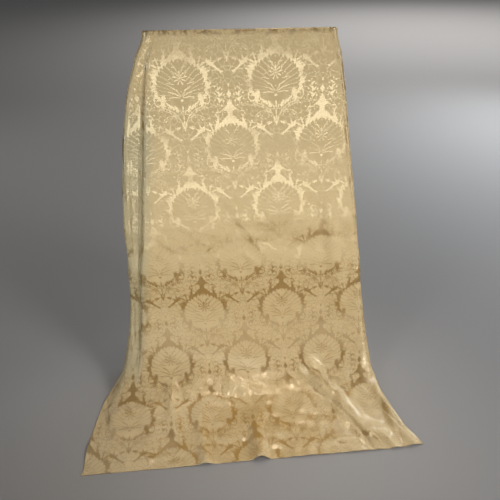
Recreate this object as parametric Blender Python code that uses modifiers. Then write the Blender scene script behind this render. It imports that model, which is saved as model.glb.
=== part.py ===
"""A damask curtain: one sheet of cloth that hangs by its top edge and ends in a short train on the floor.

At the top both side edges are taken to the back, so that the front is about half the width of the cloth.
The front widens on the way down, a soft fold runs down beside its left edge, and the hem shows the whole
width. The sheet is worked out from its flat cut, so that it is no longer or wider than the cloth it is
made of: ACROSS is the distance on the flat cloth from its middle line, to the right, and DOWN is the
distance on it from the top edge.

Metres, +Z up, +X to the viewer's right, -Y towards the viewer. The origin is the middle of the top edge.
"""

import math

import bmesh
import bpy
import numpy as np

# The cloth
REPEAT_WIDTH = 0.3425  # a quarter of the width of a 137 cm furnishing damask
CLOTH_WIDTH = 4 * REPEAT_WIDTH
HEM_DOWN = 1.866  # from the top edge to the hem, on the middle line
ASKEW = 0.0366  # how much longer the left side hangs, for each metre across
THICKNESS = 0.002

# The turn over the top edge
TOP_RADIUS = 0.005
TURNED_OVER = 0.046

# How the middle line drifts to the right on the way down
MIDDLE_AT_TOP = -0.0545
MIDDLE_DRIFT = 0.0366

# The left fold: its inward bend's share of it, and how far the cloth beyond it faces forward
FOLD_IN_SHARE = 0.42
WING_FORWARD = 0.25  # as a share of the fold's angle
DROOP_RUN = 0.10  # cloth over which a side comes to hang down as well as back

# Beyond its bend a side eases outwards again
EASE_START = 0.05
EASE_RUN = 0.20
EASE_SHARE = 0.14  # of the bend's angle

# One row for each section, with lengths in metres and angles in degrees. lean is the cloth's slope forward
# from straight down. corner is how far left of the middle the left fold starts, fold its angle, fold_run
# the cloth in it, and wing the cloth between it and the left bend. right is how far out the right bend
# starts. A side's round is the cloth in its bend, turn the angle that it turns to the back, and droop how
# steeply it goes down from there.
SECTION_COLUMNS = (
    "down", "lean", "corner", "fold", "fold_run", "wing", "left_round", "left_turn", "left_droop",
    "right", "right_round", "right_turn", "right_droop",
)
SECTIONS = (
    (0.000, 0, 0.234, 0, 0.024, 0.000, 0.062, 158, 22, 0.360, 0.085, 158, 26),
    (0.090, -1, 0.266, 34, 0.030, 0.002, 0.062, 158, 24, 0.379, 0.085, 156, 27),
    (0.233, -3, 0.296, 58, 0.042, 0.015, 0.075, 157, 28, 0.401, 0.085, 153, 29),
    (0.466, 5, 0.331, 66, 0.050, 0.024, 0.080, 154, 33, 0.429, 0.085, 150, 32),
    (0.699, 4, 0.367, 66, 0.050, 0.021, 0.080, 150, 37, 0.455, 0.085, 146, 35),
    (0.932, 3, 0.400, 62, 0.044, 0.006, 0.064, 142, 42, 0.477, 0.085, 140, 40),
    (1.164, 11, 0.436, 55, 0.038, 0.002, 0.060, 120, 45, 0.499, 0.085, 122, 45),
    (1.336, 20, 0.462, 42, 0.036, 0.005, 0.064, 88, 42, 0.512, 0.090, 100, 50),
    (1.473, 66, 0.478, 24, 0.040, 0.010, 0.080, 74, 42, 0.522, 0.100, 86, 46),
    (1.634, 84, 0.500, 0, 0.040, 0.020, 0.110, 52, 40, 0.510, 0.110, 58, 58),
    (1.755, 87, 0.500, 0, 0.040, 0.030, 0.120, 26, 30, 0.515, 0.120, 32, 56),
    (1.840, 89, 0.500, 0, 0.040, 0.030, 0.120, 6, 12, 0.520, 0.120, 6, 30),
    (1.900, 90, 0.500, 0, 0.040, 0.040, 0.120, 0, 2, 0.530, 0.120, 0, 12),
    (2.000, 90, 0.500, 0, 0.040, 0.040, 0.120, 0, 0, 0.530, 0.120, 0, 8),
)

# Ridges and ripples raised in the cloth, each along a line on the flat cloth from its start to its end
RIDGE_COLUMNS = (
    "across_from", "down_from", "across_to", "down_to", "height_from", "height_to", "half_width",
)
RIDGES = (
    (-0.225, 1.600, -0.212, 1.885, 0.005, 0.018, 0.045),  # under the hem's left bump
    (0.005, 1.620, 0.014, 1.885, 0.006, 0.032, 0.055),  # the arch in the middle of the hem
    (0.265, 1.400, 0.500, 1.810, 0.034, 0.028, 0.060),  # the long ridge on the right
    (0.585, 1.530, 0.640, 1.850, 0.034, 0.010, 0.070),  # the roll along the right edge
    (0.530, 1.760, 0.560, 1.850, 0.006, 0.010, 0.035),  # the hem's right bump
    (-0.345, 1.480, -0.330, 1.740, 0.012, 0.006, 0.045),  # the soft upright ridge on the left
    (-0.570, 1.600, -0.400, 1.590, 0.007, 0.009, 0.030),  # two level ridges at the lower left
    (-0.560, 1.700, -0.380, 1.680, 0.008, 0.007, 0.032),
    (-0.450, 1.830, -0.330, 1.815, 0.006, 0.006, 0.024),
    (0.300, 1.795, 0.400, 1.800, 0.006, 0.006, 0.024),  # the level ridge before the hem on the right
    (-0.030, 0.640, 0.100, 0.860, 0.005, 0.005, 0.030),  # a faint wrinkle across the middle
    (-0.560, 0.080, -0.600, 1.050, 0.012, 0.016, 0.055),  # a soft fold in each side, behind
    (0.600, 0.120, 0.610, 1.100, 0.014, 0.012, 0.055),
)
RIDGE_FADE = 0.045  # length over which a ridge dies away at each end
FLOOR_SOFTNESS = 0.004  # how gently a side meets the floor

# The grid of the solid
SIDE_STEPS = 420  # steps from the middle line to a side edge when a row is worked out
ROWS_DOWN = 47
ROW_SPREAD = 0.45  # how much closer together the rows are on the train than at the top
ROLL_STEPS = 4
FLAP_STEPS = 2
FRONT_COLUMNS = 20
BEND_COLUMNS = 4
SIDE_COLUMNS = 5
LEAST_ZONE = 0.012  # the narrowest band of columns

CLOTH_COLOR = (0.52, 0.41, 0.25, 1.0)
CLOTH_ROUGHNESS = 0.75


def smooth_column(places, values, at):
    """A smooth curve through the values, which never swings past them (monotone cubic)."""
    places = np.asarray(places, float)
    values = np.asarray(values, float)
    gaps = np.diff(places)
    slopes = np.diff(values) / gaps
    tangents = np.zeros_like(values)
    same_way = slopes[:-1] * slopes[1:] > 0
    safe = np.where(same_way, slopes[:-1] * slopes[1:], 1.0)
    weight_a = 2 * gaps[1:] + gaps[:-1]
    weight_b = gaps[1:] + 2 * gaps[:-1]
    harmonic = (weight_a + weight_b) * safe / np.where(
        same_way, weight_a * slopes[1:] + weight_b * slopes[:-1], 1.0
    )
    tangents[1:-1] = np.where(same_way, harmonic, 0.0)
    at = np.clip(at, places[0], places[-1])
    index = np.clip(np.searchsorted(places, at, side="right") - 1, 0, len(places) - 2)
    gap = gaps[index]
    t = (at - places[index]) / gap
    start = values[index] * (1 + 2 * t) * (1 - t) ** 2 + tangents[index] * gap * t * (1 - t) ** 2
    end = values[index + 1] * t**2 * (3 - 2 * t) - tangents[index + 1] * gap * t**2 * (1 - t)
    return start + end


def section(name, down):
    """One named column of SECTIONS at any distance down the cloth."""
    column = SECTION_COLUMNS.index(name)
    places = [row[0] for row in SECTIONS]
    values = [row[column] for row in SECTIONS]
    return smooth_column(places, values, down)


def ease(t):
    """0 before t = 0, 1 after t = 1, and smooth between."""
    t = np.clip(t, 0.0, 1.0)
    return t * t * (3 - 2 * t)


def middle_line():
    """Height and forward place of the middle line at close steps down the cloth."""
    down = np.linspace(0.0, SECTIONS[-1][0], 1001)
    lean = np.radians(section("lean", down))
    step = down[1] - down[0]
    forward = np.concatenate(([0.0], np.cumsum(np.sin((lean[1:] + lean[:-1]) / 2)) * step))
    drop = np.concatenate(([0.0], np.cumsum(np.cos((lean[1:] + lean[:-1]) / 2)) * step))
    return down, forward, drop


MIDDLE = middle_line()
FLOOR_Z = -float(np.interp(HEM_DOWN, MIDDLE[0], MIDDLE[2]))


def ridge_height(across, down):
    """How far the ridges raise the cloth at a place on the flat cloth."""
    total = np.zeros(np.broadcast(across, down).shape)
    for row in RIDGES:
        ridge = dict(zip(RIDGE_COLUMNS, row))
        run_across = ridge["across_to"] - ridge["across_from"]
        run_down = ridge["down_to"] - ridge["down_from"]
        length = math.hypot(run_across, run_down)
        from_across = across - ridge["across_from"]
        from_down = down - ridge["down_from"]
        along = (from_across * run_across + from_down * run_down) / length
        beside = (from_across * run_down - from_down * run_across) / length
        share = np.clip(along / length, 0.0, 1.0)
        height = ridge["height_from"] + (ridge["height_to"] - ridge["height_from"]) * share
        fade_in = ease((along + RIDGE_FADE) / (2 * RIDGE_FADE))
        fade_out = ease((length - along + RIDGE_FADE) / (2 * RIDGE_FADE))
        crest = np.cos(np.clip(beside / ridge["half_width"], -1, 1) * math.pi / 2) ** 2
        total = total + height * fade_in * fade_out * crest
    return total


def side_angles(side, out, down):
    """Turn to the back and slope down, in radians, at a distance out from the middle line."""
    if side < 0:
        corner = section("corner", down)
        fold = section("fold", down)
        fold_run = section("fold_run", down)
        inward_run = FOLD_IN_SHARE * fold_run
        bend = corner + fold_run + section("wing", down)
        round_run = section("left_round", down)
        turn = section("left_turn", down)
        droop = section("left_droop", down)
        back_out = ease((out - corner - inward_run) / (fold_run - inward_run))
        angle = fold * ease((out - corner) / inward_run) - (1 + WING_FORWARD) * fold * back_out
        angle = angle + (turn + WING_FORWARD * fold) * ease((out - bend) / round_run)
    else:
        bend = section("right", down)
        round_run = section("right_round", down)
        turn = section("right_turn", down)
        droop = section("right_droop", down)
        angle = turn * ease((out - bend) / round_run)
    eased = EASE_SHARE * turn * ease((out - bend - round_run - EASE_START) / EASE_RUN)
    slope = droop * ease((out - bend) / DROOP_RUN)
    return np.radians(angle - eased), np.radians(slope)


def soft_floor(z):
    """Keeps the cloth on or above the floor, meeting it gently."""
    over = z - FLOOR_Z
    return FLOOR_Z + (over + np.sqrt(over**2 + FLOOR_SOFTNESS**2)) / 2


def side_rows(side, share_down):
    """Points from the middle line out to one side edge, for rows given as shares of the way to the hem."""
    out = np.linspace(0.0, CLOTH_WIDTH / 2, SIDE_STEPS + 1)
    step = out[1]
    across = side * out
    down = share_down[:, None] * (HEM_DOWN - ASKEW * across[None, :])
    turn, slope = side_angles(side, out[None, :], down)
    lean = np.radians(section("lean", down))
    raised = ridge_height(across[None, :], down)
    steepness = np.gradient(raised, step, axis=1)
    level_run = np.cos(slope) * np.sqrt(1 - np.clip(steepness, -0.9, 0.9) ** 2) * step
    zero = np.zeros((len(share_down), 1))

    def add_up(run):
        return np.concatenate((zero, np.cumsum((run[:, 1:] + run[:, :-1]) / 2, axis=1)), axis=1)

    x = MIDDLE_AT_TOP + MIDDLE_DRIFT * down + side * add_up(level_run * np.cos(turn))
    y = -np.interp(down, MIDDLE[0], MIDDLE[1]) + add_up(level_run * np.sin(turn))
    z = -np.interp(down, MIDDLE[0], MIDDLE[2]) - add_up(np.sin(slope) * step)
    z = soft_floor(z)
    x = x + raised * side * np.sin(turn) * np.cos(lean)
    y = y - raised * np.cos(turn) * np.cos(lean)
    z = z + raised * np.sin(lean)
    return across, np.stack((x, y, z), axis=-1)


def cloth_rows(share_down):
    """Fine rows of the whole cloth, from its left edge to its right edge."""
    left_across, left = side_rows(-1, share_down)
    right_across, right = side_rows(1, share_down)
    across = np.concatenate((left_across[:0:-1], right_across))
    return across, np.concatenate((left[:, :0:-1], right), axis=1)


def column_places(down):
    """Where the grid's columns run at one distance down: close together in the folds and bends."""
    half = CLOTH_WIDTH / 2
    corner = float(section("corner", down))
    fold_end = corner + float(section("fold_run", down))
    left_bend = fold_end + max(float(section("wing", down)), LEAST_ZONE)
    left_end = min(left_bend + float(section("left_round", down)), half - SIDE_COLUMNS * LEAST_ZONE)
    right_bend = float(section("right", down))
    right_end = min(right_bend + float(section("right_round", down)), half - SIDE_COLUMNS * LEAST_ZONE)
    zones = (
        (-half, -left_end, SIDE_COLUMNS),
        (-left_end, -left_bend, BEND_COLUMNS),
        (-left_bend, -fold_end, 1),
        (-fold_end, -corner, BEND_COLUMNS + 1),
        (-corner, right_bend, FRONT_COLUMNS),
        (right_bend, right_end, BEND_COLUMNS),
        (right_end, half, SIDE_COLUMNS),
    )
    places = [-half]
    for start, end, count in zones:
        places.extend(start + (end - start) * (i + 1) / count for i in range(count))
    return np.array(places)


def inward_normals(row):
    """Level directions from a row of points towards the hollow behind the front."""
    along = np.gradient(row, axis=0)
    inward = np.stack((-along[:, 1], along[:, 0], np.zeros(len(along))), axis=-1)
    return inward / np.linalg.norm(inward, axis=1)[:, None]


def cloth_grid():
    """The points of the solid's middle surface, row by row from the end of the turned part to the hem."""
    t = np.linspace(0.0, 1.0, ROWS_DOWN + 1)
    share_down = t + ROW_SPREAD * t * (1 - t)
    flap_share = TURNED_OVER / HEM_DOWN * np.linspace(1.0, 0.0, FLAP_STEPS, endpoint=False)
    across, fine = cloth_rows(np.concatenate((flap_share, share_down)))
    shares = list(flap_share) + list(share_down)
    rows = []
    for share, fine_row in zip(shares, fine):
        places = column_places(share * HEM_DOWN)
        rows.append(np.stack([np.interp(places, across, fine_row[:, k]) for k in range(3)], axis=-1))
    below_roll = np.array((0.0, 0.0, -TOP_RADIUS))
    flap = [row + below_roll + 2 * TOP_RADIUS * inward_normals(row) for row in rows[:FLAP_STEPS]]
    front = [row + below_roll for row in rows[FLAP_STEPS + 1:]]
    return flap + top_roll(rows[FLAP_STEPS]) + front


def top_roll(top_row):
    """The roll over the top edge, from the turned part behind it to the front."""
    inward = inward_normals(top_row)
    rows = []
    for i in range(ROLL_STEPS + 1):
        angle = math.pi * (1 - i / ROLL_STEPS)
        over = inward * TOP_RADIUS * (1 - math.cos(angle))
        rows.append(top_row + over + np.array((0.0, 0.0, TOP_RADIUS * (math.sin(angle) - 1))))
    return rows


def cloth_material():
    material = bpy.data.materials.new("damask_cloth")
    material.use_nodes = True
    shader = material.node_tree.nodes["Principled BSDF"]
    shader.inputs["Base Color"].default_value = CLOTH_COLOR
    shader.inputs["Roughness"].default_value = CLOTH_ROUGHNESS
    shader.inputs["Metallic"].default_value = 0.0
    return material


def make_cloth(collection):
    """One sheet, as an open surface given its thickness by Solidify."""
    rows = cloth_grid()
    mesh = bpy.data.meshes.new("curtain_cloth")
    cloth = bmesh.new()
    grid = [[cloth.verts.new(point) for point in row] for row in rows]
    for upper, lower in zip(grid, grid[1:]):
        for i in range(len(upper) - 1):
            cloth.faces.new((upper[i], lower[i], lower[i + 1], upper[i + 1]))
    cloth.to_mesh(mesh)
    cloth.free()
    mesh.shade_smooth()
    mesh.materials.append(cloth_material())
    curtain = bpy.data.objects.new("curtain_cloth", mesh)
    collection.objects.link(curtain)
    solidify = curtain.modifiers.new("thickness", "SOLIDIFY")
    solidify.thickness = THICKNESS
    solidify.offset = 0.0
    return curtain


def main():
    for item in list(bpy.data.objects):
        bpy.data.objects.remove(item)
    collection = bpy.data.collections.new("damask_curtain")
    bpy.context.scene.collection.children.link(collection)
    make_cloth(collection)


main()
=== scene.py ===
"""The looks of a damask curtain, around the frame of its solid.

One thin sheet follows the solid. It is worked out from the same flat cut, with finer folds and creases.
The damask is drawn by shader nodes in the cloth's flat places, so the pattern follows every fold.

ACROSS is the distance on the flat cloth from its middle line, to the right, and DOWN is the distance on it
from the top edge, in metres. The pattern is drawn in repeats of the cloth's width.
"""

import math

import bpy
import numpy as np
from mathutils import Matrix, Vector


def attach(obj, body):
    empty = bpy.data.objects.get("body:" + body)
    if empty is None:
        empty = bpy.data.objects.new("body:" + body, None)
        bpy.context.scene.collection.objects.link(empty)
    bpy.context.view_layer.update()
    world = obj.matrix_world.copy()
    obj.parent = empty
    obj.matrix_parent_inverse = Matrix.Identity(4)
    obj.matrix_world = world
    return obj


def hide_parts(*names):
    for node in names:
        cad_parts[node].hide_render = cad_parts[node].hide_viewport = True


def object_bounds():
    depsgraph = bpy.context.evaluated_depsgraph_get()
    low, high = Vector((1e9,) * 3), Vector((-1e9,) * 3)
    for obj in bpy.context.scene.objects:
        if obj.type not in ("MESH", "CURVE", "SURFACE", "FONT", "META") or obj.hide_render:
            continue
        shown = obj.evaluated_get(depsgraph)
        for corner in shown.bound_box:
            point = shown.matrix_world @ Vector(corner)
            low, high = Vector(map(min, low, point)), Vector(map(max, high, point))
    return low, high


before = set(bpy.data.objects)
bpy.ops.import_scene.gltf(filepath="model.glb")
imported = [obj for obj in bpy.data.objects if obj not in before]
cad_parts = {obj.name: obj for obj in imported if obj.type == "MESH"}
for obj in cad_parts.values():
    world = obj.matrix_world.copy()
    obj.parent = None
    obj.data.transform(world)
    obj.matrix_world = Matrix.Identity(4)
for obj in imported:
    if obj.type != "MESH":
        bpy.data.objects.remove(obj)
CAD_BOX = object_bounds()

# The cloth, as in the solid
REPEAT_WIDTH = 0.3425
CLOTH_WIDTH = 4 * REPEAT_WIDTH
HEM_DOWN = 1.866
ASKEW = 0.0366
TOP_RADIUS = 0.005
TURNED_OVER = 0.046
MIDDLE_AT_TOP = -0.0545
MIDDLE_DRIFT = 0.0366
FOLD_IN_SHARE = 0.42
WING_FORWARD = 0.25
DROOP_RUN = 0.10
EASE_START = 0.05
EASE_RUN = 0.20
EASE_SHARE = 0.14
FLOOR_SOFTNESS = 0.004
RIDGE_FADE = 0.045

# The real cloth's thickness
THICKNESS = 0.0011

# One row for each section, as in the solid: lean, fold, turn and droop in degrees, the rest in metres
SECTION_COLUMNS = (
    "down", "lean", "corner", "fold", "fold_run", "wing", "left_round", "left_turn", "left_droop",
    "right", "right_round", "right_turn", "right_droop",
)
SECTIONS = (
    (0.000, 0, 0.234, 0, 0.024, 0.000, 0.062, 158, 22, 0.360, 0.085, 158, 26),
    (0.090, -1, 0.266, 34, 0.030, 0.002, 0.062, 158, 24, 0.379, 0.085, 156, 27),
    (0.233, -3, 0.296, 58, 0.042, 0.015, 0.075, 157, 28, 0.401, 0.085, 153, 29),
    (0.466, 5, 0.331, 66, 0.050, 0.024, 0.080, 154, 33, 0.429, 0.085, 150, 32),
    (0.699, 4, 0.367, 66, 0.050, 0.021, 0.080, 150, 37, 0.455, 0.085, 146, 35),
    (0.932, 3, 0.400, 62, 0.044, 0.006, 0.064, 142, 42, 0.477, 0.085, 140, 40),
    (1.164, 11, 0.436, 55, 0.038, 0.002, 0.060, 120, 45, 0.499, 0.085, 122, 45),
    (1.336, 20, 0.462, 42, 0.036, 0.005, 0.064, 88, 42, 0.512, 0.090, 100, 50),
    (1.473, 66, 0.478, 24, 0.040, 0.010, 0.080, 74, 42, 0.522, 0.100, 86, 46),
    (1.634, 84, 0.500, 0, 0.040, 0.020, 0.110, 52, 40, 0.510, 0.110, 58, 58),
    (1.755, 87, 0.500, 0, 0.040, 0.030, 0.120, 26, 30, 0.515, 0.120, 32, 56),
    (1.840, 89, 0.500, 0, 0.040, 0.030, 0.120, 6, 12, 0.520, 0.120, 6, 30),
    (1.900, 90, 0.500, 0, 0.040, 0.040, 0.120, 0, 2, 0.530, 0.120, 0, 12),
    (2.000, 90, 0.500, 0, 0.040, 0.040, 0.120, 0, 0, 0.530, 0.120, 0, 8),
)

# Ridges and creases along lines on the flat cloth. bow is how far the line's middle is pushed aside. RIDGES
# are the solid's, some of them a little lower. CREASES are the sheet's own, with hollows below zero.
RIDGE_COLUMNS = (
    "across_from", "down_from", "across_to", "down_to", "bow", "height_from", "height_to", "half_width",
)
RIDGES = (
    (-0.225, 1.600, -0.212, 1.885, 0, 0.005, 0.018, 0.045),
    (0.005, 1.620, 0.014, 1.885, 0, 0.006, 0.032, 0.055),
    (0.265, 1.400, 0.500, 1.810, 0, 0.022, 0.018, 0.070),
    (0.585, 1.530, 0.640, 1.850, 0, 0.034, 0.010, 0.070),
    (0.530, 1.760, 0.560, 1.850, 0, 0.006, 0.010, 0.035),
    (-0.345, 1.480, -0.330, 1.740, 0, 0.012, 0.006, 0.045),
    (-0.570, 1.600, -0.400, 1.590, 0, 0.007, 0.009, 0.030),
    (-0.560, 1.700, -0.380, 1.680, 0, 0.008, 0.007, 0.032),
    (-0.450, 1.830, -0.330, 1.815, -0.006, 0.005, 0.005, 0.028),
    (0.300, 1.795, 0.400, 1.800, 0.006, 0.005, 0.005, 0.028),
    (-0.030, 0.640, 0.100, 0.860, 0, 0.002, 0.002, 0.028),
    (-0.560, 0.080, -0.600, 1.050, 0, 0.012, 0.016, 0.055),
    (0.600, 0.120, 0.610, 1.100, 0, 0.014, 0.012, 0.055),
)
CREASES = (
    (0.300, 1.455, 0.400, 1.610, 0.006, 0.005, 0.004, 0.022),
    (0.345, 1.600, 0.470, 1.850, 0.012, -0.006, -0.004, 0.014),
    (0.500, 1.632, 0.545, 1.602, 0, -0.004, -0.005, 0.010),
    (0.545, 1.602, 0.655, 1.785, -0.006, -0.005, -0.004, 0.010),
    (0.565, 1.580, 0.680, 1.750, -0.006, 0.005, 0.004, 0.016),
    (0.483, 1.775, 0.540, 1.850, 0, -0.004, -0.003, 0.009),
    (0.505, 1.765, 0.560, 1.840, 0, 0.003, 0.003, 0.010),
    (-0.520, 1.560, -0.400, 1.552, 0.004, -0.004, -0.004, 0.014),
    (-0.345, 1.620, -0.262, 1.560, 0.004, 0.003, 0.003, 0.014),
    (-0.390, 0.350, -0.500, 1.250, 0, -0.003, -0.003, 0.012),
    (-0.365, 0.420, -0.470, 1.150, 0.004, 0.003, 0.002, 0.010),
    (-0.445, 0.450, -0.500, 1.300, 0.004, -0.003, -0.003, 0.009),
    (-0.005, 0.690, 0.050, 0.765, 0.004, -0.0015, -0.0015, 0.011),
    (0.060, 0.795, 0.150, 0.800, 0.006, 0.0015, 0.0012, 0.012),
    (0.020, 0.860, 0.095, 0.940, -0.004, 0.0016, 0.0012, 0.014),
    (0.180, 0.900, 0.260, 0.830, 0.006, -0.0014, -0.0014, 0.013),
    (-0.190, 0.780, -0.120, 0.850, 0.006, 0.0012, 0.0012, 0.014),
    (0.360, 0.620, 0.425, 1.150, 0.010, 0.006, 0.005, 0.050),
    (-0.385, 0.800, -0.430, 1.200, 0, 0.004, 0.004, 0.060),
    (-0.500, 0.965, 0.520, 0.975, 0, 0.0065, 0.0065, 0.170),  # a broad swell across the front
)
CREASE_FADE = 0.026
STEEPEST = 0.9  # a ridge's side counts as no steeper than this

# Soft unevenness all over: wavelengths in metres, and the height of the whole
RIPPLE_SEED = 11
RIPPLE_COUNT = 26
RIPPLE_SHORTEST = 0.045
RIPPLE_LONGEST = 0.28
RIPPLE_HEIGHT = 0.0007
RIPPLE_ON_TRAIN = 3.2  # how much higher it is on the train
RIPPLE_TRAIN_FROM = 1.35  # the distance down from which it grows
RIPPLE_TRAIN_RUN = 0.2  # cloth over which it grows
RIPPLE_TOP_RUN = 0.15  # cloth over which it comes in under the top edge

# The sheet's grid
MIDDLE_STEPS = 1000  # along the middle line
SIDE_STEPS = 700  # from the middle line to a side edge, before the columns are picked
ROWS_CLOSE_FROM = 1.29  # the distance down from which the rows lie close together
ROWS_ABOVE = 86
ROWS_BELOW = 122
ROLL_STEPS = 8
FLAP_STEPS = 3
FINE_FROM = 0.25  # the distance across from which the front's columns lie close together
FRONT_COLUMNS = (86, 48)  # left and right of FINE_FROM
BEND_COLUMNS = 16
FOLD_COLUMNS = 16
WING_COLUMNS = 3
SIDE_COLUMNS = 14
LEAST_ZONE = 0.012  # the least width of a zone of columns
LEAST_SIDE = 3 * LEAST_ZONE  # the same for the zone beside a side edge

# The damask. Half drop: the medallions of each row stand between those of the next.
HALF_DROP = 0.7055  # from one row to the next, in repeats
WEAVE_STEP = 0.0008  # the pattern's edges go in steps of this, as yarns do

# The map of the flat cloth: its height stands for this length, and the top edge lies this high in it
MAP_LENGTH = 2.0
MAP_TOP = 0.98

FLOOR_Z = CAD_BOX[0].z
FLOOR_HALF = 30.0
FLOOR_GAP = 0.001  # the floor lies this far under the solid

# The camera, fitted to the photo's lattice of medallions, with its angles in degrees
CAMERA_PLACE = (-0.0784, -1.9488, 0.2442)
CAMERA_YAW = 2.973
CAMERA_PITCH = 29.767
CAMERA_ROLL = -0.746
FOCAL_PIXELS = 530.4
PHOTO_PIXELS = 500
SENSOR_MM = 36.0


def smooth_column(places, values, at):
    """A smooth curve through the values, which never swings past them (monotone cubic)."""
    places = np.asarray(places, float)
    values = np.asarray(values, float)
    gaps = np.diff(places)
    slopes = np.diff(values) / gaps
    tangents = np.zeros_like(values)
    same_way = slopes[:-1] * slopes[1:] > 0
    safe = np.where(same_way, slopes[:-1] * slopes[1:], 1.0)
    weight_a = 2 * gaps[1:] + gaps[:-1]
    weight_b = gaps[1:] + 2 * gaps[:-1]
    harmonic = (weight_a + weight_b) * safe / np.where(
        same_way, weight_a * slopes[1:] + weight_b * slopes[:-1], 1.0
    )
    tangents[1:-1] = np.where(same_way, harmonic, 0.0)
    at = np.clip(at, places[0], places[-1])
    index = np.clip(np.searchsorted(places, at, side="right") - 1, 0, len(places) - 2)
    gap = gaps[index]
    t = (at - places[index]) / gap
    start = values[index] * (1 + 2 * t) * (1 - t) ** 2 + tangents[index] * gap * t * (1 - t) ** 2
    end = values[index + 1] * t**2 * (3 - 2 * t) - tangents[index + 1] * gap * t**2 * (1 - t)
    return start + end


def section(name, down):
    """One named column of SECTIONS at any distance down the cloth."""
    column = SECTION_COLUMNS.index(name)
    places = [row[0] for row in SECTIONS]
    values = [row[column] for row in SECTIONS]
    return smooth_column(places, values, down)


def ease(t):
    """0 before t = 0, 1 after t = 1, and smooth between."""
    t = np.clip(t, 0.0, 1.0)
    return t * t * (3 - 2 * t)


def middle_line():
    """Height and forward place of the middle line at close steps down the cloth."""
    down = np.linspace(0.0, SECTIONS[-1][0], MIDDLE_STEPS + 1)
    lean = np.radians(section("lean", down))
    step = down[1] - down[0]
    forward = np.concatenate(([0.0], np.cumsum(np.sin((lean[1:] + lean[:-1]) / 2)) * step))
    drop = np.concatenate(([0.0], np.cumsum(np.cos((lean[1:] + lean[:-1]) / 2)) * step))
    return down, forward, drop


MIDDLE = middle_line()
TRAIN_Z = -float(np.interp(HEM_DOWN, MIDDLE[0], MIDDLE[2]))


def line_height(across, down, rows, fade):
    """How far the ridges and hollows of a table raise the cloth at a place on the flat cloth."""
    total = np.zeros(np.broadcast(across, down).shape)
    for row in rows:
        ridge = dict(zip(RIDGE_COLUMNS, row))
        run_across = ridge["across_to"] - ridge["across_from"]
        run_down = ridge["down_to"] - ridge["down_from"]
        length = math.hypot(run_across, run_down)
        from_across = across - ridge["across_from"]
        from_down = down - ridge["down_from"]
        along = (from_across * run_across + from_down * run_down) / length
        share = np.clip(along / length, 0.0, 1.0)
        beside = (from_across * run_down - from_down * run_across) / length
        beside = beside - ridge["bow"] * 4 * share * (1 - share)
        height = ridge["height_from"] + (ridge["height_to"] - ridge["height_from"]) * share
        fade_in = ease((along + fade) / (2 * fade))
        fade_out = ease((length - along + fade) / (2 * fade))
        crest = np.cos(np.clip(beside / ridge["half_width"], -1, 1) * math.pi / 2) ** 2
        total = total + height * fade_in * fade_out * crest
    return total


def ripples(across, down):
    """Soft unevenness, as a sum of waves in all directions."""
    chance = np.random.default_rng(RIPPLE_SEED)
    total = np.zeros(np.broadcast(across, down).shape)
    for _ in range(RIPPLE_COUNT):
        length = RIPPLE_SHORTEST * (RIPPLE_LONGEST / RIPPLE_SHORTEST) ** chance.random()
        heading = chance.uniform(0, math.pi)
        phase = chance.uniform(0, 2 * math.pi)
        turns = (across * math.cos(heading) + down * math.sin(heading)) / length
        total = total + length * np.sin(2 * math.pi * turns + phase)
    total = total / np.std(total)
    on_train = 1 + (RIPPLE_ON_TRAIN - 1) * ease((down - RIPPLE_TRAIN_FROM) / RIPPLE_TRAIN_RUN)
    return RIPPLE_HEIGHT * on_train * total


def side_angles(side, out, down):
    """Turn to the back and slope down, in radians, at a distance out from the middle line."""
    if side < 0:
        corner = section("corner", down)
        fold = section("fold", down)
        fold_run = section("fold_run", down)
        inward_run = FOLD_IN_SHARE * fold_run
        bend = corner + fold_run + section("wing", down)
        round_run = section("left_round", down)
        turn = section("left_turn", down)
        droop = section("left_droop", down)
        back_out = ease((out - corner - inward_run) / (fold_run - inward_run))
        angle = fold * ease((out - corner) / inward_run) - (1 + WING_FORWARD) * fold * back_out
        angle = angle + (turn + WING_FORWARD * fold) * ease((out - bend) / round_run)
    else:
        bend = section("right", down)
        round_run = section("right_round", down)
        turn = section("right_turn", down)
        droop = section("right_droop", down)
        angle = turn * ease((out - bend) / round_run)
    eased = EASE_SHARE * turn * ease((out - bend - round_run - EASE_START) / EASE_RUN)
    slope = droop * ease((out - bend) / DROOP_RUN)
    return np.radians(angle - eased), np.radians(slope)


def soft_floor(z):
    """Keeps the cloth on or above the floor, meeting it gently."""
    over = z - TRAIN_Z
    return TRAIN_Z + (over + np.sqrt(over**2 + FLOOR_SOFTNESS**2)) / 2


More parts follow.
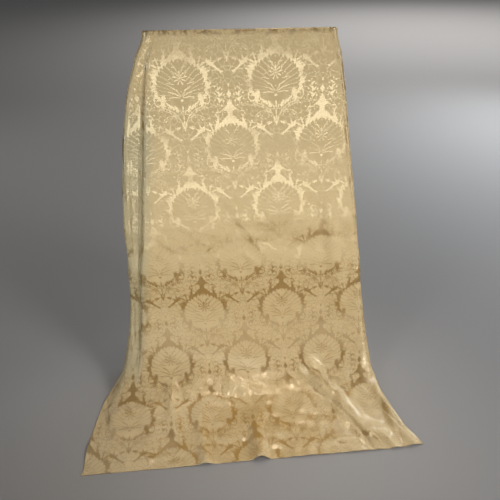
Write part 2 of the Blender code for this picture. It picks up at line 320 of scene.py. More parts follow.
def side_rows(side, share_down):
    """Points from the middle line out to one side edge, for rows given as shares of the way to the hem."""
    out = np.linspace(0.0, CLOTH_WIDTH / 2, SIDE_STEPS + 1)
    step = out[1]
    across = side * out
    down = share_down[:, None] * (HEM_DOWN - ASKEW * across[None, :])
    turn, slope = side_angles(side, out[None, :], down)
    lean = np.radians(section("lean", down))
    raised = line_height(across[None, :], down, RIDGES, RIDGE_FADE)
    steepness = np.gradient(raised, step, axis=1)
    level_run = np.cos(slope) * np.sqrt(1 - np.clip(steepness, -STEEPEST, STEEPEST) ** 2) * step
    raised = raised + line_height(across[None, :], down, CREASES, CREASE_FADE)
    raised = raised + ripples(across[None, :], down) * ease(down / RIPPLE_TOP_RUN)
    zero = np.zeros((len(share_down), 1))

    def add_up(run):
        return np.concatenate((zero, np.cumsum((run[:, 1:] + run[:, :-1]) / 2, axis=1)), axis=1)

    x = MIDDLE_AT_TOP + MIDDLE_DRIFT * down + side * add_up(level_run * np.cos(turn))
    y = -np.interp(down, MIDDLE[0], MIDDLE[1]) + add_up(level_run * np.sin(turn))
    z = -np.interp(down, MIDDLE[0], MIDDLE[2]) - add_up(np.sin(slope) * step)
    z = soft_floor(z)
    x = x + raised * side * np.sin(turn) * np.cos(lean)
    y = y - raised * np.cos(turn) * np.cos(lean)
    z = np.maximum(z + raised * np.sin(lean), TRAIN_Z)
    return across, np.stack((x, y, z), axis=-1)


def cloth_rows(share_down):
    """Fine rows of the whole cloth, from its left edge to its right edge."""
    left_across, left = side_rows(-1, share_down)
    right_across, right = side_rows(1, share_down)
    across = np.concatenate((left_across[:0:-1], right_across))
    return across, np.concatenate((left[:, :0:-1], right), axis=1)


def column_places(down):
    """Where the grid's columns run at one distance down: close together in the folds and bends."""
    half = CLOTH_WIDTH / 2
    corner = float(section("corner", down))
    fold_end = corner + float(section("fold_run", down))
    left_bend = fold_end + max(float(section("wing", down)), LEAST_ZONE)
    left_end = min(left_bend + float(section("left_round", down)), half - LEAST_SIDE)
    right_bend = float(section("right", down))
    right_end = min(right_bend + float(section("right_round", down)), half - LEAST_SIDE)
    zones = (
        (-half, -left_end, SIDE_COLUMNS),
        (-left_end, -left_bend, BEND_COLUMNS),
        (-left_bend, -fold_end, WING_COLUMNS),
        (-fold_end, -corner, FOLD_COLUMNS),
        (-corner, FINE_FROM, FRONT_COLUMNS[0]),
        (FINE_FROM, right_bend, FRONT_COLUMNS[1]),
        (right_bend, right_end, BEND_COLUMNS),
        (right_end, half, SIDE_COLUMNS),
    )
    places = [-half]
    for start, end, count in zones:
        places.extend(start + (end - start) * (i + 1) / count for i in range(count))
    return np.array(places)


def inward_normals(row):
    """Level directions from a row of points towards the hollow behind the front."""
    along = np.gradient(row, axis=0)
    inward = np.stack((-along[:, 1], along[:, 0], np.zeros(len(along))), axis=-1)
    return inward / np.linalg.norm(inward, axis=1)[:, None]


def cloth_grid():
    """Points of the sheet, row by row from the end of the turned part to the hem, and their flat places."""
    close_share = ROWS_CLOSE_FROM / HEM_DOWN
    share_down = np.concatenate((
        np.linspace(0.0, close_share, ROWS_ABOVE, endpoint=False),
        np.linspace(close_share, 1.0, ROWS_BELOW + 1),
    ))
    flap_share = TURNED_OVER / HEM_DOWN * np.linspace(1.0, 0.0, FLAP_STEPS, endpoint=False)
    across, fine = cloth_rows(np.concatenate((flap_share, share_down)))
    shares = list(flap_share) + list(share_down)
    rows = []
    flats = []
    for share, fine_row in zip(shares, fine):
        places = column_places(share * HEM_DOWN)
        rows.append(np.stack([np.interp(places, across, fine_row[:, k]) for k in range(3)], axis=-1))
        flats.append(np.stack((places, share * (HEM_DOWN - ASKEW * places)), axis=-1))
    below_roll = np.array((0.0, 0.0, -TOP_RADIUS))
    behind_roll = np.array((0.0, math.pi * TOP_RADIUS))
    grid = [row + below_roll + 2 * TOP_RADIUS * inward_normals(row) for row in rows[:FLAP_STEPS]]
    flat = [place * (1, -1) - behind_roll for place in flats[:FLAP_STEPS]]
    inward = inward_normals(rows[FLAP_STEPS])
    for i in range(ROLL_STEPS + 1):
        angle = math.pi * (1 - i / ROLL_STEPS)
        rise = np.array((0.0, 0.0, TOP_RADIUS * (math.sin(angle) - 1)))
        grid.append(rows[FLAP_STEPS] + inward * TOP_RADIUS * (1 - math.cos(angle)) + rise)
        flat.append(flats[FLAP_STEPS] - behind_roll * angle / math.pi)
    grid += [row + below_roll for row in rows[FLAP_STEPS + 1:]]
    flat += flats[FLAP_STEPS + 1:]
    return np.array(grid), np.array(flat)


# Expressions in shader nodes


class Num:
    """A number, or a place, that the shader works out. It takes + - * and / as plain numbers do."""

    def __init__(self, tree, socket):
        self.tree = tree
        self.socket = socket

    def __add__(self, other):
        return calc("ADD", self, other)

    def __radd__(self, other):
        return calc("ADD", other, self)

    def __sub__(self, other):
        return calc("SUBTRACT", self, other)

    def __rsub__(self, other):
        return calc("SUBTRACT", other, self)

    def __mul__(self, other):
        return calc("MULTIPLY", self, other)

    def __truediv__(self, other):
        return calc("DIVIDE", self, other)


def fill(sockets, values):
    """Links each value to its socket, or writes it there if it is a plain number or place."""
    for socket, value in zip(sockets, values):
        if isinstance(value, Num):
            value.tree.links.new(value.socket, socket)
        else:
            socket.default_value = value


def fill_named(node, values):
    """Fills inputs of a node by their names."""
    fill([node.inputs[name] for name in values], values.values())


def tree_of(values):
    """The node tree that the worked out values stand in."""
    return next(value.tree for value in values if isinstance(value, Num))


def calc(operation, *values, clamp=False):
    """A math node."""
    tree = tree_of(values)
    node = tree.nodes.new("ShaderNodeMath")
    node.operation = operation
    node.use_clamp = clamp
    fill(node.inputs, values)
    return Num(tree, node.outputs[0])


def vector(operation, *values, number=False):
    """A vector math node, whose result is a place or, for a distance or dot product, a number."""
    tree = tree_of(values)
    node = tree.nodes.new("ShaderNodeVectorMath")
    node.operation = operation
    fill(node.inputs, values)
    return Num(tree, node.outputs[1 if number else 0])


def scaled(place, share):
    """A fixed place or a worked out one, times a number."""
    node = share.tree.nodes.new("ShaderNodeVectorMath")
    node.operation = "SCALE"
    fill_named(node, {"Vector": place, "Scale": share})
    return Num(share.tree, node.outputs[0])


def place_of(x, y):
    """A place from its two numbers."""
    tree = tree_of((x, y))
    node = tree.nodes.new("ShaderNodeCombineXYZ")
    fill(node.inputs, (x, y))
    return Num(tree, node.outputs[0])


def parts_of(place):
    """The two numbers of a place."""
    node = place.tree.nodes.new("ShaderNodeSeparateXYZ")
    fill(node.inputs, (place,))
    return Num(place.tree, node.outputs[0]), Num(place.tree, node.outputs[1])


def noise(place, scale, detail=2.0):
    """A noise texture: its number and its colour as a place."""
    node = place.tree.nodes.new("ShaderNodeTexNoise")
    fill_named(node, {"Vector": place, "Scale": scale, "Detail": detail})
    return Num(place.tree, node.outputs[0]), Num(place.tree, node.outputs[1])


def blend(share, at_zero, at_one):
    """From at_zero to at_one as share goes from 0 to 1."""
    return calc("MULTIPLY_ADD", share, at_one - at_zero, at_zero)


def ramp(value, start, end):
    """0 before start, 1 after end, smooth between."""
    node = value.tree.nodes.new("ShaderNodeMapRange")
    node.interpolation_type = "SMOOTHSTEP"
    fill(node.inputs, (value, start, end, 0.0, 1.0))
    return Num(value.tree, node.outputs[0])


def nearest(*distances):
    """The union of shapes."""
    found = distances[0]
    for distance in distances[1:]:
        found = calc("MINIMUM", found, distance)
    return found


# Shapes of the pattern. Each gives a distance that is below zero inside the shape.


def dot(place, x, y, radius):
    """A round dot."""
    return vector("DISTANCE", place, (x, y, 0), number=True) - radius


def stroke(place, x_from, y_from, x_to, y_to, half_from, half_to):
    """A straight stroke with round ends."""
    run = (x_to - x_from, y_to - y_from)
    length2 = run[0] ** 2 + run[1] ** 2
    heading = (run[0] / length2, run[1] / length2, 0)
    start = heading[0] * x_from + heading[1] * y_from
    along = calc("SUBTRACT", vector("DOT_PRODUCT", place, heading, number=True), start, clamp=True)
    moved = vector("ADD", place, scaled((-run[0], -run[1], 0), along))
    away = vector("DISTANCE", moved, (x_from, y_from, 0), number=True)
    return away - blend(along, half_from, half_to)


def arc(place, x, y, radius, half_width, middle, spread):
    """A piece of a ring: middle is the direction of its middle from its centre, in degrees."""
    ring = calc("ABSOLUTE", vector("DISTANCE", place, (x, y, 0), number=True) - radius) - half_width
    return calc("MAXIMUM", ring, behind_chord(place, x, y, radius, middle, spread))


def behind_chord(place, x, y, radius, middle, spread):
    """How far a place is behind the straight line between the ends of an arc."""
    middle = math.radians(middle)
    facing = (math.cos(middle), math.sin(middle), 0)
    reach = radius * math.cos(math.radians(spread / 2)) + facing[0] * x + facing[1] * y
    return reach - vector("DOT_PRODUCT", place, facing, number=True)


def chain(place, x, y, radius, size, middle, spread, pitch):
    """Small round leaves in a row along an arc. pitch is from one leaf to the next."""
    apart = vector("SUBTRACT", place, (x, y, 0))
    beside, over = parts_of(apart)
    turn = calc("ARCTAN2", over, beside)
    to_leaf = calc("PINGPONG", turn * (radius / pitch), 0.5) * pitch
    off_arc = vector("LENGTH", apart, number=True) - radius
    leaf = vector("LENGTH", place_of(to_leaf, off_arc), number=True) - size
    return calc("MAXIMUM", leaf, behind_chord(place, x, y, radius, middle, spread))


def profile(value, points):
    """A line through points of (place, value), with both from 0 to 1."""
    node = value.tree.nodes.new("ShaderNodeFloatCurve")
    curve = node.mapping.curves[0]
    for x, y in points[1:-1]:
        curve.points.new(x, y)
    curve.points[0].location = points[0]
    curve.points[len(curve.points) - 1].location = points[-1]
    for point in curve.points:
        point.handle_type = "VECTOR"
    node.mapping.update()
    fill_named(node, {"Value": value})
    return Num(value.tree, node.outputs[0])


# The crown over a medallion, with its bell, diamond and drop: height above the middle, half width
CROWN_PROFILE = (
    (0.000, 0.000), (0.215, 0.124), (0.262, 0.132), (0.270, 0.112), (0.290, 0.116), (0.296, 0.090),
    (0.312, 0.096), (0.318, 0.070), (0.332, 0.076), (0.340, 0.048), (0.352, 0.050), (0.360, 0.031),
    (0.380, 0.027), (0.400, 0.026), (0.408, 0.046), (0.420, 0.070), (0.428, 0.078), (0.434, 0.056),
    (0.446, 0.062), (0.454, 0.042), (0.468, 0.046), (0.476, 0.030), (0.496, 0.029), (0.506, 0.016),
    (0.536, 0.005), (0.546, 0.002), (0.560, 0.010), (0.582, 0.022), (0.594, 0.025), (0.604, 0.019),
    (0.626, 0.005), (0.640, 0.002), (0.664, 0.002), (0.676, 0.009), (0.690, 0.010), (1.000, 0.009),
)
# The ring's thorns: share of the half turn from the top, thickness over its inner edge
RING_PROFILE = (
    (0.000, 0.030), (0.150, 0.040), (0.170, 0.028), (0.200, 0.042), (0.215, 0.030), (0.245, 0.044),
    (0.258, 0.032), (0.290, 0.034), (0.306, 0.062), (0.314, 0.046), (0.334, 0.086), (0.344, 0.062),
    (0.362, 0.092), (0.378, 0.056), (0.402, 0.064), (0.416, 0.034), (0.440, 0.046), (0.452, 0.030),
    (0.480, 0.034), (0.492, 0.064), (0.508, 0.046), (0.528, 0.070), (0.546, 0.036), (0.566, 0.028),
    (0.584, 0.058), (0.600, 0.034), (0.624, 0.052), (0.640, 0.028), (0.664, 0.036), (0.690, 0.018),
    (0.720, 0.000), (1.000, 0.000),
)

# Strokes over a medallion's middle line, in repeats from its centre: from, to, half widths at both ends.
# They stand at its right, and the pattern mirrors them to its left.
UPPER_STROKES = (
    (0.152, 0.232, 0.138, 0.306, 0.022, 0.012),  # prong
    (0.138, 0.306, 0.138, 0.352, 0.012, 0.008),
    (0.138, 0.352, 0.164, 0.388, 0.008, 0.005),
    (0.138, 0.340, 0.118, 0.370, 0.007, 0.005),
    (0.144, 0.288, 0.168, 0.320, 0.008, 0.003),
    (0.060, 0.436, 0.090, 0.414, 0.009, 0.006),  # tendril from the bell to the prong
    (0.104, 0.402, 0.150, 0.402, 0.006, 0.008),
    (0.208, 0.236, 0.236, 0.292, 0.009, 0.007),  # twig
    (0.219, 0.256, 0.200, 0.286, 0.007, 0.005),
    (0.228, 0.268, 0.258, 0.264, 0.007, 0.005),
    (0.236, 0.206, 0.276, 0.226, 0.012, 0.006),
    (0.304, 0.228, 0.346, 0.196, 0.022, 0.018),  # the long leaf
    (0.346, 0.196, 0.446, 0.116, 0.014, 0.007),
    (0.322, 0.222, 0.340, 0.270, 0.013, 0.004),
    (0.306, 0.232, 0.284, 0.262, 0.012, 0.004),
    (0.350, 0.200, 0.380, 0.230, 0.011, 0.004),
    (0.306, 0.222, 0.288, 0.192, 0.011, 0.004),
    (0.430, 0.124, 0.458, 0.128, 0.010, 0.004),
)
UPPER_DOTS = (
    (0.100, 0.448, 0.007), (0.126, 0.430, 0.006), (0.060, 0.392, 0.007), (0.082, 0.372, 0.006),
    (0.182, 0.410, 0.009), (0.186, 0.300, 0.007), (0.266, 0.290, 0.007), (0.080, 0.476, 0.006),
    (0.238, 0.340, 0.007), (0.300, 0.330, 0.008), (0.346, 0.304, 0.007),
)
# The small flower inside
FLOWER_STROKES = (
    (0.000, 0.104, 0.000, 0.148, 0.006, 0.009),
    (0.012, 0.098, 0.040, 0.134, 0.005, 0.008),
    (0.018, 0.084, 0.064, 0.096, 0.005, 0.008),
    (0.016, 0.068, 0.056, 0.050, 0.005, 0.007),
    (0.006, 0.056, 0.022, 0.016, 0.004, 0.006),
    (0.056, 0.132, 0.076, 0.164, 0.004, 0.003),
    (0.088, 0.080, 0.118, 0.070, 0.004, 0.003),
    (0.070, 0.020, 0.140, 0.034, 0.005, 0.004),
    (0.030, 0.186, 0.074, 0.200, 0.005, 0.004),
)
FLOWER_DOTS = ((0.000, 0.078, 0.012), (0.000, 0.176, 0.005), (0.036, 0.166, 0.005), (0.000, -0.010, 0.007))

# Strokes under a medallion's middle line
LOWER_STROKES = (
    (0.196, -0.116, 0.210, -0.196, 0.028, 0.018),  # the ragged leaf at each side
    (0.212, -0.140, 0.254, -0.118, 0.015, 0.005),
    (0.206, -0.168, 0.164, -0.148, 0.014, 0.005),
    (0.212, -0.184, 0.254, -0.198, 0.011, 0.004),
    (0.206, -0.190, 0.178, -0.212, 0.011, 0.005),
    (0.212, -0.196, 0.204, -0.242, 0.013, 0.004),
    (0.056, -0.264, 0.078, -0.220, 0.017, 0.008),  # beads
    (0.096, -0.242, 0.114, -0.204, 0.015, 0.007),
    (0.130, -0.222, 0.146, -0.188, 0.013, 0.006),
    (0.160, -0.194, 0.172, -0.170, 0.011, 0.006),
    (0.000, -0.222, 0.000, -0.276, 0.008, 0.005),  # upright lines over the stem
    (0.028, -0.262, 0.018, -0.312, 0.006, 0.004),
    (0.000, -0.296, 0.000, -0.474, 0.004, 0.006),  # stem
    (0.000, -0.484, 0.028, -0.404, 0.007, 0.004),
    (0.010, -0.104, 0.044, -0.042, 0.004, 0.006),  # sprays inside, low at each side of the flower
    (0.044, -0.042, 0.096, -0.010, 0.006, 0.004),
    (0.016, -0.112, 0.074, -0.074, 0.004, 0.006),
    (0.074, -0.074, 0.146, -0.058, 0.006, 0.004),
    (0.018, -0.126, 0.080, -0.118, 0.004, 0.006),
    (0.080, -0.118, 0.134, -0.128, 0.006, 0.004),
    (0.060, -0.452, 0.092, -0.474, 0.012, 0.005),  # a leaf beside the stem
    (0.086, -0.460, 0.078, -0.436, 0.007, 0.004),
)
LOWER_DOTS = (
    (0.000, -0.152, 0.014), (0.000, -0.060, 0.006), (0.040, -0.300, 0.006), (0.062, -0.318, 0.006),
    (0.088, -0.292, 0.006), (0.250, -0.252, 0.006), (0.226, -0.268, 0.006),
)
# Curved lines: centre, radius, half width, direction of the line's middle, its spread
LOWER_ARCS = (
    (0.228, -0.142, 0.068, 0.0060, 0, 130),  # the bracket beside the leaf
    (0.130, -0.435, 0.116, 0.0040, 108, 140),  # scrolls from the stem
    (0.250, -0.465, 0.236, 0.0036, 130, 76),
)
# Rows of small leaves: centre, radius, leaf size, direction of the row's middle, its spread, pitch
CHAINS = (
    (0.250, -0.465, 0.262, 0.0075, 104, 60, 0.030),
    (0.250, -0.465, 0.212, 0.0065, 106, 50, 0.027),
    (0.130, -0.435, 0.094, 0.0060, 96, 110, 0.026),
)
# The sprig between two medallions of a row
SPRIG_STROKES = (
    (0.392, -0.222, 0.399, -0.120, 0.003, 0.003),
    (0.399, -0.120, 0.384, -0.030, 0.003, 0.002),
    (0.396, -0.184, 0.430, -0.152, 0.012, 0.005),
    (0.394, -0.162, 0.358, -0.136, 0.012, 0.005),
    (0.398, -0.125, 0.432, -0.096, 0.011, 0.005),
    (0.394, -0.100, 0.362, -0.074, 0.011, 0.005),
    (0.386, -0.058, 0.414, -0.032, 0.011, 0.006),
)
SPRIG_DOTS = (
    (0.366, 0.022, 0.013), (0.404, 0.010, 0.012), (0.356, -0.028, 0.011), (0.386, -0.006, 0.008),
    (0.426, -0.062, 0.010), (0.444, -0.118, 0.010), (0.348, -0.104, 0.010), (0.350, -0.172, 0.010),
    (0.440, -0.190, 0.010), (0.372, -0.216, 0.009), (0.416, -0.232, 0.009), (0.384, 0.052, 0.007),
)

RING_INNER = 0.256
RING_SQUASH = 0.96  # a ring is a little taller than it is wide
SCALLOPS = 18
SCALLOP_DEPTH = 0.008
FLAMES = 17
FLAME_LENGTH = 0.018
FLAME_GROWTH = 0.070  # more length towards the top
LINE_EDGE = 0.0022  # how soft the edges are
# Uneven edges: scale of each noise, and how far it moves a place
EDGE_NOISES = ((14.0, 0.018), (52.0, 0.010))
# Faint lines on the petals, as a fan that spreads from low in the flower
FAN_LOW = 0.150
FAN_LINES = 17
FAN_BEND = 44.0
FAN_LEVEL = 0.84  # the higher, the thinner the lines
FAN_SOFTNESS = 0.08
FAN_SHARE = 0.90
# Where the fan's lines start and are full: from its foot, from the flower's middle and from the ring
FAN_FROM_FOOT = (0.07, 0.09)
FAN_FROM_MIDDLE = (0.08, 0.09)
FAN_FROM_RING = (0.008, 0.016)
# Faint veins between the medallions
VEIN_SCALE = 15.0
VEIN_HALF_WIDTH = 0.045
VEIN_CORE = 0.6  # the share of that half width where a vein is full
VEIN_SHARE = 0.85
VEIN_FROM_RING = 0.01  # they are full from this far outside a ring


def lattice_place(flat):
    """Folds a place on the flat cloth into one tile, half a repeat wide and one half drop high.

    The tile has a medallion's centre at its lower left corner and the next row's at its upper right one.
    """
    across, down = parts_of(vector("SNAP", flat, (WEAVE_STEP, WEAVE_STEP, 1.0)))
    up = (HEM_DOWN - across * ASKEW - down) / REPEAT_WIDTH
    row = calc("FLOOR", up / HALF_DROP)
    odd = calc("FLOORED_MODULO", row, 2.0)
    beside = calc("PINGPONG", across / REPEAT_WIDTH, 0.5)
    beside = beside + odd * (0.5 - beside * 2.0)
    return place_of(beside, up - row * HALF_DROP)


def roughen(place):
    """Makes edges a little uneven, alike in every repeat."""
    moved = place
    for scale, reach in EDGE_NOISES:
        shift = vector("SUBTRACT", noise(place, scale, detail=1.0)[1], (0.5, 0.5, 0.5))
        moved = vector("MULTIPLY_ADD", shift, (reach, reach, 0.0), moved)
    return moved


def medallion(place):
    """The ring round a medallion, how far a place is inside it, and the lines on its petals."""
    x, y = parts_of(place)
    turn = calc("ARCTAN2", x, y)
    radius = vector("LENGTH", vector("MULTIPLY", place, (1.0, RING_SQUASH, 0.0)), number=True)
    flame = calc("POWER", calc("FRACT", turn * (FLAMES / math.pi)), 2.0)
    length = calc("MAXIMUM", y, 0.0) * FLAME_GROWTH + FLAME_LENGTH
    scallop = calc("PINGPONG", turn * (SCALLOPS / math.pi), 1.0) * SCALLOP_DEPTH
    inside = RING_INNER + scallop - flame * length - radius
    ring = calc("MAXIMUM", inside, 0.0 - inside - profile(turn / math.pi, RING_PROFILE))
    over_low = y + FAN_LOW
    from_low = vector("LENGTH", place_of(x, over_low), number=True)
    wave = calc("SINE", calc("ARCTAN2", x, over_low) * (2 * FAN_LINES) - from_low * FAN_BEND)
    lines = ramp(wave, FAN_LEVEL, FAN_LEVEL + FAN_SOFTNESS) * ramp(from_low, *FAN_FROM_FOOT)
    lines = lines * ramp(radius, *FAN_FROM_MIDDLE) * ramp(inside, *FAN_FROM_RING)
    return ring, inside, lines * FAN_SHARE


def upper_motifs(place):
    """What stands over a medallion's middle line, and the petals' faint lines there."""
    ring, inside, lines = medallion(place)
    x, y = parts_of(place)
    found = nearest(ring, calc("MAXIMUM", x - profile(y, CROWN_PROFILE), inside))
    for row in UPPER_STROKES + FLOWER_STROKES:
        found = nearest(found, stroke(place, *row))
    for row in UPPER_DOTS + FLOWER_DOTS:
        found = nearest(found, dot(place, *row))
    return found, inside, lines


def lower_motifs(place):
    """What hangs under a medallion's middle line, and the petals' faint lines there."""
    found, inside, lines = medallion(place)
    for row in LOWER_STROKES + SPRIG_STROKES:
        found = nearest(found, stroke(place, *row))
    for row in LOWER_DOTS + SPRIG_DOTS:
        found = nearest(found, dot(place, *row))
    for row in LOWER_ARCS:
        found = nearest(found, arc(place, *row))
    for row in CHAINS:
        found = nearest(found, chain(place, *row))
    return found, inside, lines


def veins(place, inside):
    """Faint veins of leaves, where a place is in no medallion."""
    cells = place.tree.nodes.new("ShaderNodeTexVoronoi")
    cells.feature = "DISTANCE_TO_EDGE"
    fill_named(cells, {"Vector": place, "Scale": VEIN_SCALE})
    to_edge = Num(place.tree, cells.outputs["Distance"])
    line = 1.0 - ramp(to_edge, VEIN_HALF_WIDTH * VEIN_CORE, VEIN_HALF_WIDTH)
    return line * (1.0 - ramp(inside, -VEIN_FROM_RING, 0.0)) * VEIN_SHARE


def satin_share(flat):
    """1 on the satin ground and 0 on the matt figure."""
    place = roughen(lattice_place(flat))
    over, inside_over, lines_over = upper_motifs(place)
    # The same place, seen from the centre of the next row's medallion
    turned = vector("MULTIPLY_ADD", place, (-1.0, 1.0, 0.0), (0.5, -HALF_DROP, 0.0))
    under, inside_under, lines_under = lower_motifs(turned)
    bold = 1.0 - ramp(nearest(over, under), -LINE_EDGE / 2, LINE_EDGE / 2)
    faint = calc("MAXIMUM", lines_over, lines_under)
    faint = calc("MAXIMUM", faint, veins(place, calc("MAXIMUM", inside_over, inside_under)))
    return calc("MAXIMUM", bold, faint)


def pattern_group():
    """A node group from the cloth's flat place to the share of satin there."""
    group = bpy.data.node_groups.new("damask_pattern", "ShaderNodeTree")
    group.interface.new_socket("Flat", in_out="INPUT", socket_type="NodeSocketVector")
    group.interface.new_socket("Satin", in_out="OUTPUT", socket_type="NodeSocketFloat")
    start = group.nodes.new("NodeGroupInput")
    end = group.nodes.new("NodeGroupOutput")
    satin = satin_share(Num(group, start.outputs["Flat"]))
    group.links.new(satin.socket, end.inputs["Satin"])
    return group


# Materials

FIGURE_COLOR = (0.468, 0.320, 0.139, 1)
FIGURE_ROUGHNESS = 0.90
SATIN_COLOR = (0.320, 0.176, 0.038, 1)
SATIN_ROUGHNESS = 0.28
SATIN_METALLIC = 0.15
CLOTH_IOR = 3.0
CLOTH_ANISOTROPIC = 0.8
GLOSS_TINT = (1.0, 0.95, 0.76, 1)
# Uneven yarns: scale of each noise, and how deep it goes
STREAK_SCALE = (26.0, 700.0, 0.0)
STREAK_DEPTH = 0.16
PATCH_SCALE = 5.0
PATCH_DEPTH = 0.12
# The weave in relief: slubs, fine wrinkles and ribs
SLUB_SCALE = (60.0, 420.0, 0.0)
WRINKLE_SCALE = 42.0
WRINKLE_SHARE = 2.0
RIB_PITCH = 0.0012
RIB_SHARE = 0.15
RELIEF_STRENGTH = 0.20
RELIEF_HEIGHT = 0.0006
# The brown marks of use at the top edge, a thin darker band along the hem, and painted shade: a greyer tint
# in the left fold, where shade falls
WORN_AND_HEM_COLOR = (0.250, 0.140, 0.040, 1)
WORN_DOWN = 0.022  # how far they reach down
WORN_SCALE = 36.0
WORN_LEVELS = (0.50, 0.60)  # of the noise, where they start and are full
HEM_MARK = 0.0035
HEM_SHARE = 0.5
PAINTED_FOLD_SHADE_TINT = (0.71, 0.79, 0.90)
FOLD_AT = (0.272, 0.165)  # how far left it runs at the top, and how much more for each metre down
FOLD_SHADE_RUN = (0.004, 0.065)  # right of that line, where the painted shade's grey starts to end and ends
FOLD_SHADE_DOWN = (0.12, 0.42, 1.36, 1.54)  # where it starts, is full, starts to end and ends
RIM_COLOR = (0.20, 0.125, 0.055)
RIM_SCALE = 900.0
RIM_DEPTH = 0.5
FLOOR_COLOR = (0.272, 0.254, 0.241, 1)
FLOOR_ROUGHNESS = 0.75


def mix_color(share, at_zero, at_one):
    """Two colours mixed by a share."""
    node = share.tree.nodes.new("ShaderNodeMix")
    node.data_type = "RGBA"
    colors = [socket for socket in node.inputs if socket.type == "RGBA"]
    fill((node.inputs[0], *colors), (share, at_zero, at_one))
    return Num(share.tree, next(socket for socket in node.outputs if socket.type == "RGBA"))


def toned(value, depth):
    """A tone around 1, from the number of a noise."""
    return calc("MULTIPLY_ADD", value, depth, 1.0 - depth / 2)


def marked_and_shaded(flat, color):
    """The colour with brown marks of use at the top, a darker band at the hem and painted fold shade."""
    across, down = parts_of(flat)
    # Painted shade: a grey tint along the groove of the left fold, standing in for the shade there
    from_fold = across + down * FOLD_AT[1] + FOLD_AT[0]
    starts, full, fades, ends = FOLD_SHADE_DOWN
    shade = 1.0 - ramp(from_fold, *FOLD_SHADE_RUN)
    shade = shade * ramp(down, starts, full) * (1.0 - ramp(down, fades, ends))
    painted_shade_color = vector("MULTIPLY", color, PAINTED_FOLD_SHADE_TINT)
    color = mix_color(shade, color, painted_shade_color)
    uneven = noise(flat, WORN_SCALE, detail=4.0)[0]
    at_top = ramp(uneven, *WORN_LEVELS) * (1.0 - ramp(down, 0.0, uneven * (2 * WORN_DOWN)))
    # A thin darker band along the hem, in the same brown as the marks at the top
    at_hem = ramp(HEM_DOWN - across * ASKEW - down, HEM_MARK, 0.0)
    return mix_color(calc("MAXIMUM", at_top, at_hem * HEM_SHARE), color, WORN_AND_HEM_COLOR)


def new_material(name):
    """A material and its shader."""
    material = bpy.data.materials.new(name)
    material.use_nodes = True
    return material, material.node_tree.nodes["Principled BSDF"]


def flat_place(tree):
    """The place on the flat cloth, from the sheet's points."""
    source = tree.nodes.new("ShaderNodeAttribute")
    source.attribute_name = "flat_cut"
    return Num(tree, source.outputs["Vector"])


def rim_material():
    """The cut edges."""
    material, shader = new_material("damask_rim")
    threads = toned(noise(flat_place(material.node_tree), RIM_SCALE)[0], RIM_DEPTH)
    fill_named(shader, {"Base Color": scaled(RIM_COLOR, threads), "Roughness": FIGURE_ROUGHNESS})
    return material


def cloth_material(name, pattern, back):
    """The damask. Its back has satin where the front is matt."""
    material, shader = new_material(name)
    tree = material.node_tree
    flat = flat_place(tree)
    group = tree.nodes.new("ShaderNodeGroup")
    group.node_tree = pattern
    tree.links.new(flat.socket, group.inputs["Flat"])
    satin = Num(tree, group.outputs["Satin"])
    if back:
        satin = 1.0 - satin
    streaks = noise(vector("MULTIPLY", flat, STREAK_SCALE), 1.0)[0]
    patches = noise(flat, PATCH_SCALE, detail=3.0)[0]
    tone = toned(streaks, STREAK_DEPTH) * toned(patches, PATCH_DEPTH)
    color = marked_and_shaded(flat, mix_color(satin, FIGURE_COLOR, SATIN_COLOR))
    slub = noise(vector("MULTIPLY", flat, SLUB_SCALE), 1.0, detail=1.0)[0]
    wrinkle = noise(flat, WRINKLE_SCALE)[0]
    rib = calc("SINE", parts_of(flat)[1] * (2 * math.pi / RIB_PITCH)) * RIB_SHARE
    bump = tree.nodes.new("ShaderNodeBump")
    fill_named(bump, {
        "Strength": RELIEF_STRENGTH,
        "Distance": RELIEF_HEIGHT,
        "Height": slub + wrinkle * WRINKLE_SHARE + rib,
    })
    fill_named(shader, {
        "Base Color": scaled(color, tone),
        "Roughness": blend(satin, FIGURE_ROUGHNESS, SATIN_ROUGHNESS),
        "Metallic": satin * SATIN_METALLIC,
        "Anisotropic": CLOTH_ANISOTROPIC,
        "IOR": CLOTH_IOR,
        "Specular Tint": GLOSS_TINT,
        "Normal": Num(tree, bump.outputs["Normal"]),
    })
    return material


def floor_material():
    """The plain floor."""
    material, shader = new_material("floor")
    fill_named(shader, {"Base Color": FLOOR_COLOR, "Roughness": FLOOR_ROUGHNESS})
    return material


def make_curtain():
    """The sheet, with its flat places stored on its points."""
    grid, flat = cloth_grid()
    row_count, column_count = grid.shape[:2]
    index = np.arange(row_count * column_count).reshape(row_count, column_count)
    faces = np.stack((index[:-1, :-1], index[1:, :-1], index[1:, 1:], index[:-1, 1:]), axis=-1)
    mesh = bpy.data.meshes.new("curtain_sheet")
    mesh.from_pydata(grid.reshape(-1, 3).tolist(), [], faces.reshape(-1, 4).tolist())
    places = np.zeros((row_count * column_count, 3))
    places[:, :2] = flat.reshape(-1, 2)
    attribute = mesh.attributes.new("flat_cut", "FLOAT_VECTOR", "POINT")
    attribute.data.foreach_set("vector", places.ravel())
    layer = mesh.uv_layers.new(name="flat_map")
    corners = np.zeros(len(mesh.loops), int)
    mesh.loops.foreach_get("vertex_index", corners)
    size = (CLOTH_WIDTH, -MAP_LENGTH)
    layer.uv.foreach_set("vector", (places[corners, :2] / size + (0.5, MAP_TOP)).ravel())
    mesh.shade_smooth()
    pattern = pattern_group()
    mesh.materials.append(cloth_material("damask_front", pattern, False))
    mesh.materials.append(cloth_material("damask_back", pattern, True))
    mesh.materials.append(rim_material())
    curtain = bpy.data.objects.new("curtain_sheet", mesh)
    bpy.context.scene.collection.objects.link(curtain)
    solidify = curtain.modifiers.new("thickness", "SOLIDIFY")
    solidify.thickness = THICKNESS
    solidify.offset = 0.0
    solidify.material_offset = 1
    solidify.material_offset_rim = 2
    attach(curtain, "root")
    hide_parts("curtain_cloth")


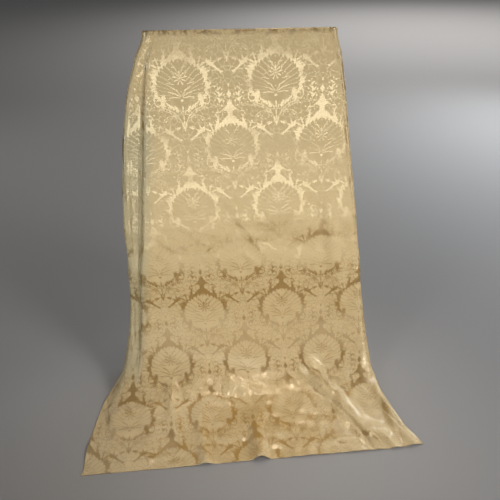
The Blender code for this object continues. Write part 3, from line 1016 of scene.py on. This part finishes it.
def make_floor():
    """The floor, which is no piece of the object."""
    half = FLOOR_HALF
    mesh = bpy.data.meshes.new("floor")
    corners = [(-half, -half, 0), (half, -half, 0), (half, half, 0), (-half, half, 0)]
    mesh.from_pydata(corners, [], [(0, 1, 2, 3)])
    mesh.materials.append(floor_material())
    floor = bpy.data.objects.new("floor", mesh)
    floor.location.z = FLOOR_Z - FLOOR_GAP
    bpy.context.scene.collection.objects.link(floor)


# Light: place, what it is aimed at, width, height, power in watts, spread in degrees, colour. The first
# two lie on the floor in front, as light from a window does, and the satin of the upper rows mirrors them.
LIGHTS = (
    ("floor_patch", (0.6, -3.76, FLOOR_Z + 0.01), (0.6, -3.76, 1.0), 5.5, 3.4, 218, 180, (1.0, 1.0, 0.90)),
    ("far_patch", (0.6, -7.66, FLOOR_Z + 0.01), (0.6, -7.66, 1.0), 5.5, 4.4, 215, 180, (1.0, 1.0, 0.90)),
    ("right_low", (2.2, -2.0, 0.1), (0.02, -0.20, -1.16), 1.3, 1.3, 6.5, 44, (0.94, 0.96, 0.98)),
    ("left_low", (-2.0, -2.1, 0.3), (0.10, -0.30, -1.22), 1.0, 1.0, 2.3, 46, (1.0, 0.98, 0.95)),
    ("left_fill", (-2.6, -1.4, -0.4), (-0.38, 0.0, -0.7), 1.2, 1.2, 2.0, 50, (0.80, 0.92, 1.0)),
    ("overhead", (0.15, 0.05, 1.3), (0.05, -0.45, -1.45), 0.30, 0.25, 0.95, 45, (1.0, 0.95, 0.88)),
    ("right_side", (3.4, -0.5, -0.2), (0.3, 0.2, -0.8), 1.1, 2.4, 21, 180, (0.94, 0.97, 1.0)),
    ("behind_right", (3.8, 3.5, 0.7), (2.9, 2.6, -1.5), 2.8, 2.8, 70, 130, (0.82, 0.91, 1.0)),
    ("behind_left", (-3.6, 3.0, 1.2), (-2.4, 1.6, -1.5), 2.0, 2.0, 10, 130, (1.0, 0.95, 0.90)),
    ("far_floor", (5.0, 10.7, 5.0), (5.0, 10.7, -1.0), 8.6, 10.6, 830, 140, (0.96, 0.98, 1.0)),
)
WORLD_COLOR = (0.160, 0.168, 0.172, 1)


def make_lights():
    """The lights and the plain grey all round."""
    for name, place, target, width, height, power, spread, color in LIGHTS:
        data = bpy.data.lights.new(name, "AREA")
        data.shape = "RECTANGLE"
        data.size = width
        data.size_y = height
        data.energy = power
        data.spread = math.radians(spread)
        data.color = color
        light = bpy.data.objects.new(name, data)
        light.location = place
        light.visible_camera = False
        aim = Vector(target) - Vector(place)
        light.rotation_euler = aim.to_track_quat("-Z", "Y").to_euler()
        bpy.context.scene.collection.objects.link(light)
    world = bpy.data.worlds.new("studio")
    world.use_nodes = True
    background = world.node_tree.nodes["Background"]
    background.inputs["Color"].default_value = WORLD_COLOR
    bpy.context.scene.world = world


def make_camera():
    """The camera stands where the photo was taken from, and looks down at the curtain."""
    yaw, pitch, roll = (math.radians(a) for a in (CAMERA_YAW, CAMERA_PITCH, CAMERA_ROLL))
    level = Vector((math.cos(yaw), -math.sin(yaw), 0))
    ahead = Vector((math.sin(yaw) * math.cos(pitch), math.cos(yaw) * math.cos(pitch), -math.sin(pitch)))
    upright = level.cross(ahead)
    right = level * math.cos(roll) + upright * math.sin(roll)
    up = upright * math.cos(roll) - level * math.sin(roll)
    data = bpy.data.cameras.new("camera")
    data.sensor_width = SENSOR_MM
    data.lens = SENSOR_MM * FOCAL_PIXELS / PHOTO_PIXELS
    camera = bpy.data.objects.new("camera", data)
    turn = Matrix((right, up, -ahead)).transposed()
    camera.matrix_world = Matrix.Translation(CAMERA_PLACE) @ turn.to_4x4()
    bpy.context.scene.collection.objects.link(camera)
    bpy.context.scene.camera = camera


make_camera()
make_curtain()
make_floor()
make_lights()
bpy.context.scene.view_settings.view_transform = "Standard"
